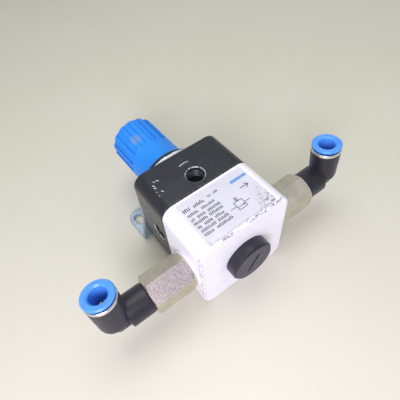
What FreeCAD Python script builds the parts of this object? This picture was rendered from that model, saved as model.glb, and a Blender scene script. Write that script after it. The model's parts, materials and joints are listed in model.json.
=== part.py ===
import FreeCAD, Part
import math
import os
import re
import Sketcher
from FreeCAD import Placement, Rotation, Vector

# Air pressure regulator, lying on its back.
#
# Frame, in millimetres: +X runs along the two ports, from inlet to outlet. +Y runs along the knob's
# axis, from the valve plug to the knob. +Z is up, out of the labelled face. The origin is on the back
# mounting plane, under the middle of the port axis.
#
# Most pieces are turned, so each is drawn in a frame of its own whose Z is its axis of turning:
#   knob frame  Z along the knob's axis, measured as Y is, and X along the ports
#   port frame  Z outward along the port axis, measured from the regulator's middle, and X up
#   tube frame  Z outward along the tube's axis, measured from the port axis

SIZES = (
    # Housing and bonnet
    ("body_width", 50.0, "across the body, port face to port face"),
    ("body_depth", 50.0, "back face to labelled face"),
    ("port_to_end", 11.0, "port axis to the housing's end face"),
    ("housing_length", 28.2, "housing along the knob axis"),
    ("bonnet_length", 24.8, "bonnet along the knob axis, without its neck"),
    ("edge_round", 6.5, "round of the four long edges"),
    ("rim_round", 0.9, "round of the housing's and bonnet's outer rims"),
    ("neck_radius", 18.0, "bonnet's threaded neck"),
    ("neck_bevel", 0.8, "bevel at the neck's end"),
    ("neck_length", 10.2, "neck above the bonnet"),
    ("neck_roof", 3.5, "end wall of the neck"),
    ("spring_bore", 14.5, "radius of the spring chamber"),
    ("rib_width", 3.0, "ribs that keep the spring nut from turning"),
    ("rib_height", 1.7, "how far they stand into the spring chamber"),
    ("rib_start", 13.0, "spring chamber's mouth to the foot of the ribs"),
    ("gauge_radius", 4.5, "gauge port, wall of the thread"),
    ("gauge_mouth", 5.0, "gauge port, chamfer at its mouth"),
    ("gauge_place", 25.4, "port axis to gauge port, along the knob axis"),
    ("channel_radius", 1.2, "channels from the outlet chamber to the gauge ports"),
    ("channel_margin", 3.1, "outlet chamber's wall to those channels"),
    ("channel_bite", 2.2, "gauge port's floor beyond the middle of its channel"),
    ("vent_radius", 0.9, "spring chamber's vent"),
    ("vent_drop", 14.2, "knob axis down to the vent"),
    ("screw_radius", 2.0, "bonnet screws"),
    ("screw_head_radius", 3.5, "their heads"),
    ("screw_head_height", 4.0, "their heads"),
    ("screw_grip", 11.0, "their length in the housing"),
    ("screw_edge", 5.5, "body's sides to the bonnet screws"),
    ("screw_socket", 3.0, "hexagon socket, across flats"),
    ("screw_socket_depth", 2.2, "hexagon socket"),
    ("screw_bevel", 0.4, "bevel round a screw's head"),
    # Flow path
    ("port_floor", 13.0, "regulator's middle to the main ports' floor"),
    ("inlet_radius", 4.0, "inlet port to valve chamber"),
    ("outlet_radius", 2.5, "outlet chamber down to the outlet port"),
    ("outlet_place", 13.8, "knob axis to that passage"),
    ("plug_bore", 9.5, "radius of the valve plug's thread"),
    ("valve_shoulder", 1.5, "step from that thread in to the valve chamber's wall"),
    ("plug_grip", 7.0, "length of that thread"),
    ("seat_radius", 5.5, "valve seat insert"),
    ("seat_bore", 2.6, "valve seat's opening"),
    ("seat_base", 4.5, "port axis to the seat's lower face"),
    ("seat_height", 4.7, "valve seat insert"),
    ("seat_lip", 0.3, "how far the seat's lip stands out"),
    ("seat_lip_wall", 0.5, "thickness of the seat's lip"),
    ("well_radius", 7.5, "well above the seat"),
    ("chamber_radius", 16.5, "outlet chamber, and the diaphragm's working part"),
    ("chamber_depth", 4.0, "outlet chamber"),
    # Valve
    ("plug_head_stand", 1.9, "valve plug's head beyond its thread"),
    ("plug_head_height", 6.0, "valve plug's head"),
    ("plug_bevel", 0.9, "bevel round the head"),
    ("plug_seal_wire", 1.3, "O-ring under the plug's head"),
    ("plug_slot_width", 1.4, "screwdriver slot"),
    ("plug_slot_length", 12.0, "screwdriver slot"),
    ("plug_slot_depth", 1.2, "screwdriver slot"),
    ("plug_slot_turn", -58.6, "slot's direction, in degrees from the port axis"),
    ("plug_cup_radius", 4.6, "pocket for the valve spring"),
    ("plug_cup_depth", 3.0, "pocket for the valve spring"),
    ("poppet_radius", 5.6, "valve poppet"),
    ("poppet_height", 5.2, "valve poppet, without its seal"),
    ("poppet_guide", 2.6, "radius of the poppet's tail"),
    ("poppet_tail", 2.4, "length of the poppet's tail"),
    ("poppet_seal_radius", 4.9, "rubber face of the poppet"),
    ("poppet_seal_height", 1.0, "rubber face of the poppet"),
    ("stem_radius", 1.2, "valve stem"),
    ("stem_point", 0.6, "bevel at the stem's tip"),
    ("valve_wire", 0.8, "valve spring's wire"),
    ("valve_turns", 4.5, "valve spring's turns"),
    # Diaphragm and its plates
    ("diaphragm_thick", 0.8, "diaphragm"),
    ("diaphragm_inset", 0.35, "diaphragm's edge inside the housing's outline"),
    ("lower_plate_radius", 11.0, "plate under the diaphragm"),
    ("lower_plate_thick", 1.3, "plate under the diaphragm"),
    ("hub_radius", 3.5, "threaded hub of the lower plate"),
    ("relief_drop", 1.5, "relief seat below the lower plate"),
    ("relief_bore", 0.8, "radius of the relief hole"),
    ("upper_plate_radius", 12.4, "plate over the diaphragm, and the spring's seat"),
    ("upper_plate_thick", 1.5, "plate over the diaphragm"),
    ("centring_height", 1.4, "boss that centres the regulating spring"),
    ("hub_nut_flats", 11.0, "nut on the hub, across flats"),
    ("hub_nut_height", 2.6, "nut on the hub"),
    ("hub_nut_room", 1.4, "space round the nut, inside the centring boss"),
    ("hub_over", 0.8, "hub beyond its nut"),
    # Regulating spring and its adjustment
    ("spring_radius", 9.8, "regulating spring, middle of the wire"),
    ("spring_wire", 2.4, "regulating spring's wire"),
    ("spring_turns", 4.5, "regulating spring's turns"),
    ("nut_place", 37.0, "port axis to the spring nut's lower face"),
    ("nut_height", 5.0, "spring nut"),
    ("screw_thread", 5.0, "radius of the spindle's thread"),
    ("screw_reach", 23.6, "port axis to the spindle's inner end"),
    ("spindle_bevel", 0.8, "bevels at the spindle's ends"),
    ("collar_stand", 1.55, "spindle's thrust collar beyond the bush"),
    ("collar_height", 1.6, "spindle's thrust collar"),
    ("washer_thick", 0.8, "thrust washer"),
    ("journal_radius", 4.5, "spindle in its bush, and its drive end"),
    ("bush_wall", 1.5, "spindle bush"),
    ("drive_flats", 7.0, "spindle's drive end, across its flats"),
    ("drive_start", 2.0, "neck's end to the foot of the flats"),
    ("drive_short", 2.9, "drive end to the inside of the knob's end wall"),
    ("clip_thick", 0.8, "circlip on the spindle"),
    ("clip_stand", 1.9, "circlip beyond the spindle"),
    ("clip_groove", 0.7, "depth of a clip's groove in the spindle"),
    ("clip_opening", 1.8, "gap in each spring clip"),
    ("snap_place", 21.5, "neck's end to the knob's snap ring"),
    ("snap_thick", 1.0, "knob's snap ring"),
    ("snap_stand", 0.8, "knob's snap ring beyond the spindle"),
    # Knob
    ("knob_radius", 14.2, "knob over its flutes' lands"),
    ("skirt_flare", 0.8, "knob's foot beyond its lands"),
    ("skirt_height", 9.0, "tapered foot of the knob"),
    ("skirt_bevel", 0.7, "bevel round the knob's foot"),
    ("knob_length", 39.0, "knob"),
    ("knob_wall", 2.2, "knob's wall under the flutes"),
    ("knob_roof", 3.6, "knob's end wall"),
    ("knob_crown", 1.0, "round of the knob's end"),
    ("knob_hub_wall", 1.9, "knob's hub round the snap ring"),
    ("knob_hub_start", 5.0, "knob's foot to the start of its hub"),
    ("knob_pull", 3.0, "how far the knob pulls out to unlock"),
    ("knob_set", 11.4, "how far the knob is turned from one flute straight up, in degrees"),
    ("flute_count", 14, "flutes round the knob"),
    ("flute_width", 3.9, "each flute"),
    ("flute_depth", 0.9, "each flute"),
    ("flute_start", 15.7, "knob's foot to the rounded end of the flutes"),
    # Mounting nut and bracket
    ("panel_nut_wall", 2.0, "round mounting nut beyond the neck"),
    ("panel_nut_height", 4.7, "mounting nut"),
    ("panel_nut_bevel", 0.7, "its outer edges"),
    ("panel_nut_slots", 4, "spanner slots round the nut"),
    ("panel_slot_width", 4.0, "spanner slot"),
    ("panel_slot_depth", 1.1, "spanner slot"),
    ("bracket_width", 57.0, "bracket's foot"),
    ("bracket_length", 21.2, "bracket's foot along the knob axis"),
    ("bracket_thick", 2.0, "bracket's sheet"),
    ("foot_drop", 3.0, "body's back face down to the face the bracket mounts on"),
    ("shoulder_margin", 6.7, "sides of the upright beyond the neck"),
    ("shoulder_drop", 6.0, "knob axis down to where the upright stops narrowing"),
    ("head_margin", 4.6, "top of the upright beyond the neck"),
    ("bracket_head_round", 18.0, "corners at the top of the upright"),
    ("bracket_corner", 4.0, "corners of the foot"),
    ("bend_radius", 0.8, "inside of the bend"),
    ("bracket_slot_width", 5.5, "mounting slots"),
    ("bracket_slot_length", 8.5, "mounting slots, along the knob axis"),
    ("bracket_slot_spacing", 48.0, "between the slots' middles"),
    ("bracket_slot_place", 14.2, "bonnet to the slots' middles"),
    # Label
    ("label_thick", 0.15, "label"),
    ("label_inset", 1.5, "label's edges inside the flat of the face"),
    ("label_corner", 1.0, "label's corners"),
    # Fittings
    ("washer_radius", 9.8, "port sealing ring"),
    ("washer_height", 1.2, "port sealing ring"),
    ("stud_thread", 6.5, "stud's thread"),
    ("stud_short", 1.0, "stud's inner end to the port's floor"),
    ("stud_bore", 3.5, "stud's bore"),
    ("stud_bevel", 0.7, "bevel at the thread's end"),
    ("shoulder_radius", 8.6, "stud's round shoulder"),
    ("shoulder_height", 1.0, "stud's round shoulder"),
    ("hex_flats", 17.0, "stud's hexagon, across flats"),
    ("hex_length", 20.1, "stud's hexagon"),
    ("spigot_radius", 5.4, "stud's spigot, which the elbow turns on"),
    ("spigot_length", 10.4, "spigot"),
    ("spigot_bevel", 0.5, "bevel at the spigot's end"),
    ("swivel_ring_place", 3.4, "hexagon to the swivel ring"),
    ("swivel_ring_thick", 1.0, "swivel ring"),
    ("swivel_ring_bite", 0.6, "how far the ring reaches into spigot and elbow"),
    ("swivel_seal_place", 7.4, "hexagon to the swivel's O-ring"),
    ("swivel_seal_wire", 1.3, "swivel's O-ring"),
    ("barrel_wall", 2.1, "elbow's barrel beyond the spigot"),
    ("barrel_length", 11.3, "elbow's barrel"),
    ("barrel_bevel", 0.4, "bevel at the barrel's near end"),
    ("barrel_step", 0.8, "slope from the barrel down to the neck"),
    ("elbow_neck", 5.8, "elbow's narrow neck"),
    ("neck_over", 2.2, "elbow's neck beyond the tube's axis"),
    ("neck_round", 2.5, "round of the neck's end"),
    ("elbow_passage", 3.2, "air passage in the elbow"),
    ("passage_dip", 1.0, "air passage beyond the port axis, under the tube"),
    ("socket_back", 0.8, "tube socket's bore, back over the barrel's end"),
    ("tube_mouth", 17.4, "port axis to the elbow's mouth"),
    ("mouth_wall", 1.2, "elbow's wall round the cartridge, at its mouth"),
    ("foot_wall", 0.6, "elbow's foot beyond the cartridge's bore"),
    ("tube_foot_drop", 2.6, "port axis down to the elbow's foot"),
    ("tube_foot_round", 5.5, "round of the elbow's foot"),
    ("tube_radius", 4.0, "plastic tube that the fitting takes"),
    ("tube_stop", 4.2, "port axis to the tube's stop"),
    ("seal_step", 1.6, "tube's stop to its seal"),
    ("cartridge_room", 2.3, "bore for the tube seal, grip ring and sleeve, beyond the tube"),
    ("tube_seal_height", 3.2, "tube seal"),
    ("grip_height", 1.3, "grip ring"),
    ("grip_thick", 0.45, "grip ring's sheet"),
    ("grip_claws", 8, "grip ring's claws"),
    ("claw_slit", 0.6, "slits between the claws"),
    ("claw_root", 0.8, "grip ring's flat rim, outside the claws"),
    ("sleeve_stand", 1.15, "metal sleeve at the mouth, beyond the cartridge's bore"),
    ("sleeve_height", 1.5, "sleeve's visible band"),
    ("sleeve_wall", 0.75, "sleeve's wall inside the elbow"),
    ("sleeve_bevel", 0.3, "sleeve's outer edge"),
    ("ring_stand", 1.1, "release ring's flange, beyond the cartridge's bore"),
    ("ring_flange", 1.5, "release ring's flange"),
    ("ring_stroke", 0.8, "release ring's travel"),
    ("ring_room", 0.15, "release ring's bore round the tube"),
    ("ring_wall", 1.1, "release ring's wall"),
    ("ring_funnel", 0.8, "bevel at the mouth of the ring's bore"),
    ("ring_bevel", 0.5, "release ring's outer edges"),
    ("swivel_left", 9.5, "inlet elbow's lean towards the knob, in degrees"),
    ("swivel_right", 4.7, "outlet elbow's lean towards the knob, in degrees"),
    # Clearances
    ("running_gap", 0.05, "shaft in its bore, each side"),
    ("seat_gap", 0.1, "closed valve's working gap"),
    ("rest_gap", 0.3, "faces that pass each other"),
    ("knob_gap", 0.5, "neck's end to the knob's foot"),
    ("fit_gap", 0.02, "pieces pressed or screwed together, each side"),
    ("thread_gap", 0.08, "stud's thread in its port, each side"),
)

# Places worked out from the sizes: each name stands for its formula.
PLACES = {
    "axis_height": "body_depth / 2",
    "screw_across": "body_width / 2 - screw_edge",
    "screw_up": "body_depth / 2 - screw_edge",
    "port_radius": "stud_thread + thread_gap",
    "port_depth": "body_width / 2 - port_floor",
    "stud_reach": "port_depth - stud_short",
    "channel_place": "chamber_radius + channel_margin",
    "gauge_floor": "channel_place - channel_bite",
    "valve_bore": "plug_bore - valve_shoulder",
    "plug_head_radius": "plug_bore + plug_head_stand",
    "end_face": "-port_to_end",
    "housing_top": "housing_length - port_to_end",
    "bonnet_base": "housing_top + diaphragm_thick",
    "bonnet_top": "bonnet_base + bonnet_length",
    "neck_top": "bonnet_top + neck_length",
    "roof_face": "neck_top - neck_roof",
    "chamber_floor": "housing_top - chamber_depth",
    "seat_top": "seat_base + seat_height",
    "lip_face": "seat_base - seat_lip",
    "poppet_top": "lip_face - seat_gap",
    "poppet_base": "poppet_top - poppet_height",
    "cup_floor": "end_face + plug_grip - plug_cup_depth",
    "relief_face": "housing_top - lower_plate_thick - relief_drop",
    "upper_plate_top": "bonnet_base + upper_plate_thick",
    "hub_top": "upper_plate_top + hub_nut_height + hub_over",
    "collar_top": "roof_face - washer_thick",
    "bush_radius": "journal_radius + running_gap + bush_wall",
    "collar_radius": "bush_radius + collar_stand",
    "clip_radius": "journal_radius + clip_stand",
    "snap_radius": "journal_radius + snap_stand",
    "knob_foot": "neck_top + knob_gap",
    "knob_top": "knob_foot + knob_length",
    "knob_inside": "knob_radius - flute_depth - knob_wall",
    "knob_ceiling": "knob_top - knob_roof",
    "knob_hub": "snap_radius + knob_hub_wall",
    "skirt_radius": "knob_radius + skirt_flare",
    "drive_top": "knob_ceiling - drive_short",
    "snap_base": "neck_top + snap_place",
    "panel_nut_radius": "neck_radius + panel_nut_wall",
    "bracket_shoulder": "neck_radius + shoulder_margin",
    "bracket_top": "axis_height + neck_radius + head_margin",
    "hex_start": "body_width / 2 + washer_height + shoulder_height",
    "hex_end": "hex_start + hex_length",
    "spigot_end": "hex_end + spigot_length",
    "barrel_start": "hex_end + rest_gap",
    "barrel_end": "barrel_start + barrel_length",
    "barrel_radius": "spigot_radius + barrel_wall",
    "cartridge_radius": "tube_radius + cartridge_room",
    "elbow_reach": "barrel_end + cartridge_radius - socket_back",
    "tube_mouth_radius": "cartridge_radius + mouth_wall",
    "tube_foot_radius": "cartridge_radius + foot_wall",
    "sleeve_radius": "cartridge_radius + sleeve_stand",
    "ring_radius": "cartridge_radius + ring_stand",
    "ring_bore": "tube_radius + ring_room",
    "seal_base": "tube_stop + seal_step",
    "seal_top": "seal_base + tube_seal_height",
    "grip_top": "seal_top + grip_height",
    "sleeve_top": "tube_mouth + sleeve_height",
    "ring_base": "sleeve_top + ring_stroke + rest_gap / 2",
    "ring_top": "ring_base + ring_flange",
}

doc = FreeCAD.newDocument("air_pressure_regulator")
sheet = doc.addObject("Spreadsheet::Sheet", "Sizes")
nodes = []


def fill_sheet():
    """One row for each size: what it is, its value, and its alias."""
    for row, (alias, number, meaning) in enumerate(SIZES, start=1):
        sheet.set(f"A{row}", meaning)
        sheet.set(f"B{row}", str(number))
        sheet.setAlias(f"B{row}", alias)
    doc.recompute()


def ref(text):
    """An expression in the names above, as FreeCAD reads it."""
    aliases = {alias for alias, _, _ in SIZES}

    def swap(match):
        word = match.group(0)
        if word in PLACES:
            return "(" + ref(PLACES[word]) + ")"
        return "Sizes." + word if word in aliases else word

    return re.sub(r"[a-z][a-z_]*", swap, text)


def value(text):
    """What an expression in the names above comes to."""
    return float(sheet.evalExpression(ref(str(text))))


def bind(thing, path, text):
    thing.setExpression(path, ref(str(text)))


# ---------------------------------------------------------------- frames

def knob_frame():
    return Placement(Vector(0, 0, value("axis_height")), Rotation(Vector(1, 0, 0), -90))


def set_frame():
    """The knob frame, turned with the knob to where it is set."""
    return knob_frame() * Placement(Vector(), Rotation(Vector(0, 0, 1), value("knob_set")))


def port_turn(side):
    """The port frame's turn: Z outward to side +1 or -1, X up."""
    if side > 0:
        return Rotation(Vector(0, 1, 0), 90) * Rotation(Vector(0, 0, 1), 180)
    return Rotation(Vector(0, 1, 0), -90)


def port_frame(side):
    return Placement(Vector(0, 0, value("axis_height")), port_turn(side))


def lean(side):
    """The elbow's swivel about the port axis."""
    angle = value("swivel_right") if side > 0 else value("swivel_left")
    return Rotation(Vector(1, 0, 0), -angle)


def elbow_frame(side):
    return Placement(Vector(0, 0, value("axis_height")), lean(side) * port_turn(side))


def tube_frame(side):
    return Placement(Vector(side * value("elbow_reach"), 0, value("axis_height")), lean(side))


# ---------------------------------------------------------------- building blocks

def new_body(label, frame):
    body = doc.addObject("PartDesign::Body", label)
    body.Label = label
    body.Placement = frame
    nodes.append(body)
    return body


def plane(body, role):
    return next(item for item in body.Origin.OriginFeatures if item.Role == role)


def new_sketch(body, role, lift="0", shift="0"):
    """An empty sketch, lifted off the plane and shifted up along its own vertical."""
    sketch = body.newObject("Sketcher::SketchObject", body.Name + "_sketch")
    sketch.AttachmentSupport = [(plane(body, role), "")]
    sketch.MapMode = "FlatFace"
    bind(sketch, "AttachmentOffset.Base.z", lift)
    bind(sketch, "AttachmentOffset.Base.y", shift)
    return sketch


def pin(sketch, geometry, point, across, up):
    """Ties a point of the sketch to two expressions."""
    for kind, text in (("DistanceX", across), ("DistanceY", up)):
        index = sketch.addConstraint(Sketcher.Constraint(kind, geometry, point, value(text)))
        bind(sketch, f"Constraints[{index}]", text)


def set_radius(sketch, geometry, radius):
    index = sketch.addConstraint(Sketcher.Constraint("Radius", geometry, value(radius)))
    bind(sketch, f"Constraints[{index}]", radius)


def arc_between(start, end, reach):
    """The arc that turns left from start to end."""
    chord = end - start
    left = Vector(-chord.y, chord.x, 0).normalize()
    centre = (start + end) * 0.5 + left * math.sqrt(reach ** 2 - chord.Length ** 2 / 4)
    first, last = (math.atan2(spot.y - centre.y, spot.x - centre.x) for spot in (start, end))
    return Part.ArcOfCircle(Part.Circle(centre, Vector(0, 0, 1), reach), first, last)


def polygon(body, role, points, lift="0", shift="0", rounds=None):
    """A closed outline through points given as pairs of expressions.

    Its sides are straight, but for those in rounds, which maps a side's number to an arc's radius.
    """
    rounds = rounds or {}
    sketch = new_sketch(body, role, lift, shift)
    count = len(points)
    spots = [Vector(value(across), value(up), 0) for across, up in points]
    for index, spot in enumerate(spots):
        following = spots[(index + 1) % count]
        if index in rounds:
            side = arc_between(spot, following, value(rounds[index]))
        else:
            side = Part.LineSegment(spot, following)
        sketch.addGeometry(side, False)
    for index in range(count):
        following = (index + 1) % count
        sketch.addConstraint(Sketcher.Constraint("Coincident", index, 2, following, 1))
    for index, (across, up) in enumerate(points):
        pin(sketch, index, 1, across, up)
    for index, radius in rounds.items():
        set_radius(sketch, index, radius)
    return sketch


def rectangle(body, role, left, right, low, high, lift="0"):
    corners = ((left, low), (right, low), (right, high), (left, high))
    return polygon(body, role, corners, lift)


def circles(body, role, centres, radius, lift="0"):
    """Circles of one radius about centres given as pairs of expressions."""
    sketch = new_sketch(body, role, lift)
    for index, (across, up) in enumerate(centres):
        centre = Vector(value(across), value(up), 0)
        sketch.addGeometry(Part.Circle(centre, Vector(0, 0, 1), value(radius)), False)
        pin(sketch, index, 3, across, up)
        set_radius(sketch, index, radius)
    return sketch


def slot_outline(body, role, first, second, radius, lift="0"):
    """A slot with round ends, about two centres given as pairs of expressions."""
    sketch = new_sketch(body, role, lift)
    ends = [Vector(value(across), value(up), 0) for across, up in (first, second)]
    reach = value(radius)
    turn = math.atan2(ends[1].y - ends[0].y, ends[1].x - ends[0].x)
    side = Vector(-math.sin(turn), math.cos(turn), 0) * reach
    arcs = ((ends[0], turn + math.pi / 2), (ends[1], turn - math.pi / 2))
    for centre, start in arcs:
        circle = Part.Circle(centre, Vector(0, 0, 1), reach)
        sketch.addGeometry(Part.ArcOfCircle(circle, start, start + math.pi), False)
    sketch.addGeometry(Part.LineSegment(ends[0] - side, ends[1] - side), False)
    sketch.addGeometry(Part.LineSegment(ends[1] + side, ends[0] + side), False)
    for one, end, other, start in ((0, 2, 2, 1), (2, 2, 1, 1), (1, 2, 3, 1), (3, 2, 0, 1)):
        sketch.addConstraint(Sketcher.Constraint("Tangent", one, end, other, start))
    pin(sketch, 0, 3, *first)
    pin(sketch, 1, 3, *second)
    set_radius(sketch, 0, radius)
    return sketch


def hexagon(body, flats, lift="0"):
    """A hexagon about the frame's Z, with a corner on X."""
    reach = f"({flats}) / sqrt(3)"
    corners = [(f"{reach} * cos({60 * index} deg)", f"{reach} * sin({60 * index} deg)") for index in range(6)]
    return polygon(body, "XY_Plane", corners, lift)


def volume(body):
    return body.Shape.Volume if body.Tip else 0.0


def settled(body, feature, before, adds):
    """Recomputes, and stops if the feature changed nothing or went the wrong way."""
    feature.Profile[0].Visibility = False
    doc.recompute()
    change = volume(body) - before
    if adds and change <= 0 or not adds and change >= 0:
        raise RuntimeError(f"{feature.Label} in {body.Label} changed the volume by {change:.4f}")
    return feature


def extrude(body, kind, sketch, length, flip=False, both=False):
    before = volume(body)
    feature = body.newObject("PartDesign::" + kind, f"{body.Name}_{kind}")
    feature.Profile = sketch
    bind(feature, "Length", length)
    feature.Reversed = flip
    feature.Midplane = both
    return settled(body, feature, before, kind == "Pad")


def pad(body, sketch, length, flip=False, both=False):
    return extrude(body, "Pad", sketch, length, flip, both)


def pocket(body, sketch, depth, flip=False, both=False):
    return extrude(body, "Pocket", sketch, depth, flip, both)


def turn(body, kind, sketch, axis):
    before = volume(body)
    feature = body.newObject("PartDesign::" + kind, f"{body.Name}_{kind}")
    feature.Profile = sketch
    feature.ReferenceAxis = (sketch, [axis])
    feature.Angle = 360
    return settled(body, feature, before, kind == "Revolution")


def revolve(body, points, axis="V_Axis", shift="0", rounds=None):
    """Adds a turned shape from pairs of radius and height."""
    return turn(body, "Revolution", polygon(body, "XZ_Plane", points, "0", shift, rounds), axis)


def bore(body, points, axis="V_Axis", shift="0"):
    """Cuts a turned hollow from pairs of radius and height."""
    return turn(body, "Groove", polygon(body, "XZ_Plane", points, "0", shift), axis)


def ring(inner, outer, low, high):
    """The outline of a plain ring, as pairs of radius and height."""
    return ((inner, low), (outer, low), (outer, high), (inner, high))


def turned(label, frame, points):
    body = new_body(label, frame)
    revolve(body, points)
    return body


def repeat(body, feature, count):
    before = volume(body)
    pattern = body.newObject("PartDesign::PolarPattern", body.Name + "_pattern")
    pattern.Originals = [feature]
    pattern.Axis = (plane(body, "Z_Axis"), [""])
    pattern.Angle = 360
    bind(pattern, "Occurrences", count)
    body.Tip = pattern
    doc.recompute()
    if abs(volume(body) - before) < 1e-6:
        raise RuntimeError(f"the pattern in {body.Label} changed nothing")
    return pattern


def dress(body, kind, wanted, size):
    """Rounds or bevels the edges of the body's shape that wanted() picks."""
    edges = [f"Edge{index}" for index, edge in enumerate(body.Shape.Edges, start=1) if wanted(edge)]
    if not edges:
        raise RuntimeError(f"{body.Label} has no edge to dress")
    base = body.Tip
    feature = body.newObject("PartDesign::" + kind, f"{body.Name}_{kind}")
    feature.Base = (base, edges)
    bind(feature, "Radius" if kind == "Fillet" else "Size", size)
    doc.recompute()
    if not feature.isValid():
        raise RuntimeError(f"{feature.Label} in {body.Label} failed")
    return feature


def upright_corner(body, half_width, half_depth):
    """Picks the edges along the frame's Z at the corners of a block."""
    inverse = body.Placement.inverse()

    def wanted(edge):
        ends = [inverse.multVec(vertex.Point) for vertex in edge.Vertexes]
        if len(ends) != 2:
            return False
        run = ends[1] - ends[0]
        at_corner = all(abs(abs(end.x) - half_width) < 0.01 and abs(abs(end.y) - half_depth) < 0.01
                        for end in ends)
        return at_corner and abs(run.z) > 0.5 and abs(run.x) + abs(run.y) < 0.01

    return wanted


def level_edge(body, height):
    """Picks every edge that lies flat at one height of the frame."""
    inverse = body.Placement.inverse()

    def wanted(edge):
        return all(abs(inverse.multVec(spot).z - height) < 0.01 for spot in edge.discretize(3))

    return wanted


def circle_at(body, height, radius):
    """Picks the circular edge of one radius about the frame's Z, at one height."""
    inverse = body.Placement.inverse()

    def wanted(edge):
        spots = [inverse.multVec(spot) for spot in edge.discretize(4)]
        return all(abs(spot.z - height) < 0.01 and abs(math.hypot(spot.x, spot.y) - radius) < 0.01
                   for spot in spots)

    return wanted


def torus(label, frame, height, ring_radius, wire_radius):
    """An O-ring about the frame's Z."""
    piece = doc.addObject("Part::Torus", label)
    piece.Label = label
    bind(piece, "Radius1", ring_radius)
    bind(piece, "Radius2", wire_radius)
    piece.Placement = frame * Placement(Vector(0, 0, value(height)), Rotation())
    nodes.append(piece)
    return piece


def coil(label, frame, low, high, radius, wire, turns):
    """A coil spring between two seats: a round wire swept along a helix."""
    helix = doc.addObject("Part::Helix", label + "_helix")
    bind(helix, "Radius", radius)
    bind(helix, "Height", f"({high}) - ({low}) - ({wire})")
    bind(helix, "Pitch", f"(({high}) - ({low}) - ({wire})) / ({turns})")
    section = doc.addObject("Part::Circle", label + "_wire")
    bind(section, "Radius", f"({wire}) / 2")
    bind(section, "Placement.Base.x", radius)
    section.Placement = Placement(Vector(value(radius), 0, 0), Rotation(Vector(1, 0, 0), 90))
    sweep = doc.addObject("Part::Sweep", label)
    sweep.Label = label
    sweep.Sections = [section]
    sweep.Spine = (helix, [])
    sweep.Solid = True
    sweep.Frenet = True
    start = Vector(0, 0, value(f"({low}) + ({wire}) / 2"))
    sweep.Placement = frame * Placement(start, Rotation())
    nodes.append(sweep)
    return sweep


# ---------------------------------------------------------------- housing and bonnet

def block(body, low, length):
    """A square block along the frame's Z with its four long edges rounded."""
    outline = rectangle(body, "XY_Plane", "-body_width / 2", "body_width / 2",
                        "-body_depth / 2", "body_depth / 2", low)
    pad(body, outline, length)
    corner = upright_corner(body, value("body_width / 2"), value("body_depth / 2"))
    dress(body, "Fillet", corner, "edge_round")


def soften_rim(body, height):
    """Rounds a plain block's outer rim."""
    dress(body, "Fillet", level_edge(body, value(height)), "rim_round")


def screw_spots():
    return [(f"{across}screw_across", f"{up}screw_up") for across in ("", "-") for up in ("", "-")]


def channel_spots():
    """The channels to the gauge ports: one towards the label, one towards the inlet."""
    return [("0", "-channel_place"), ("-channel_place", "0")]


def lower_housing():
    body = new_body("lower_housing", knob_frame())
    block(body, "end_face", "housing_length")
    soften_rim(body, "end_face")
    bore(body, (
        ("0", "end_face"), ("plug_bore + plug_seal_wire", "end_face"),
        ("plug_bore + plug_seal_wire", "end_face + plug_seal_wire"),
        ("plug_bore", "end_face + plug_seal_wire"), ("plug_bore", "end_face + plug_grip"),
        ("valve_bore", "end_face + plug_grip"), ("valve_bore", "seat_base"),
        ("seat_radius", "seat_base"), ("seat_radius", "seat_top"), ("well_radius", "seat_top"),
        ("well_radius", "chamber_floor"), ("chamber_radius", "chamber_floor"),
        ("chamber_radius", "housing_top"), ("0", "housing_top")))
    for lift, flip in (("body_width / 2", False), ("-body_width / 2", True)):
        pocket(body, circles(body, "YZ_Plane", [("0", "0")], "port_radius", lift), "port_depth", flip)
    inlet = circles(body, "YZ_Plane", [("0", "0")], "inlet_radius", "-body_width / 2")
    pocket(body, inlet, "body_width / 2 - valve_bore + inlet_radius / 2", True)
    outlet = circles(body, "XY_Plane", [("outlet_place", "0")], "outlet_radius", "chamber_floor")
    pocket(body, outlet, "chamber_floor")
    pocket(body, circles(body, "XY_Plane", screw_spots(), "screw_radius", "housing_top"), "screw_grip + 1")
    for across, up in channel_spots():
        inward = "chamber_radius - 1.5"
        reach = "channel_place + channel_radius"
        if across == "0":
            slot = rectangle(body, "XY_Plane", "-channel_radius", "channel_radius",
                             f"-({reach})", f"-({inward})", "housing_top")
        else:
            slot = rectangle(body, "XY_Plane", f"-({reach})", f"-({inward})",
                             "-channel_radius", "channel_radius", "housing_top")
        pocket(body, slot, "2 * channel_radius")


def gauge_port(body, role, centre, face, flip):
    """A blind threaded port with a chamfered mouth, cut in from one face."""
    level = value(face)
    depth = "body_depth / 2 - gauge_floor" if role == "XZ_Plane" else "body_width / 2 - gauge_floor"
    pocket(body, circles(body, role, [centre], "gauge_radius", face), depth, flip)
    inverse = body.Placement.inverse()

    def mouth(edge):
        if not isinstance(edge.Curve, Part.Circle):
            return False
        spot = inverse.multVec(edge.Curve.Center)
        off_face = -spot.y if role == "XZ_Plane" else spot.x
        return abs(off_face - level) < 0.01 and abs(edge.Curve.Radius - value("gauge_radius")) < 0.01

    dress(body, "Chamfer", mouth, "gauge_mouth - gauge_radius")


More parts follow.
